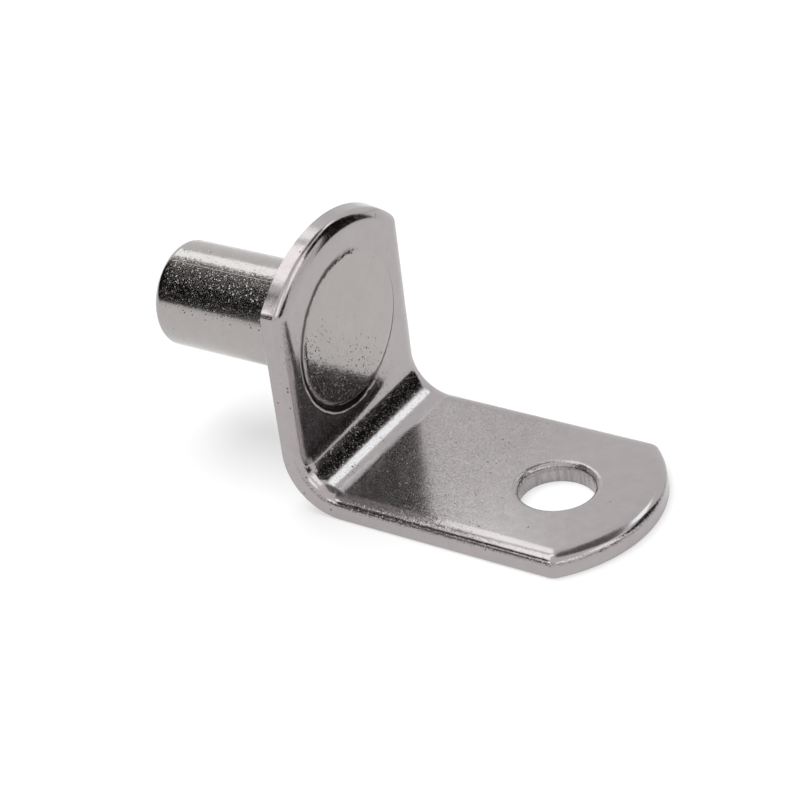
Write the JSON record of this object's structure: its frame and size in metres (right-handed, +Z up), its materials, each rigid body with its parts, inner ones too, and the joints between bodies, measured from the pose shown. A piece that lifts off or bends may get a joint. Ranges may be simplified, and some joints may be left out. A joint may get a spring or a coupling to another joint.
{
  "type": "shelf support pin",
  "caption": "Bent steel shelf support: a riveted wall pin on an upright leg, and a flat tab with a screw hole that carries the shelf.",
  "frame": {"origin": "where the pin's axis meets the wall face, which is the back of the leg", "axes": "the pin points along -X into the cabinet's side, the tab points along +X under the shelf, and the leg stands up along +Z"},
  "size_m": [0.0306, 0.0126, 0.0156],
  "materials": {
    "bracket_nickel": "bright nickel plate on stamped steel, finely grained",
    "pin_nickel": "bright nickel plate on a turned steel pin, finely pitted"
  },
  "bodies": {
    "root": {"bracket": "bracket_nickel", "support_pin": "pin_nickel"}
  },
  "joints": []
}
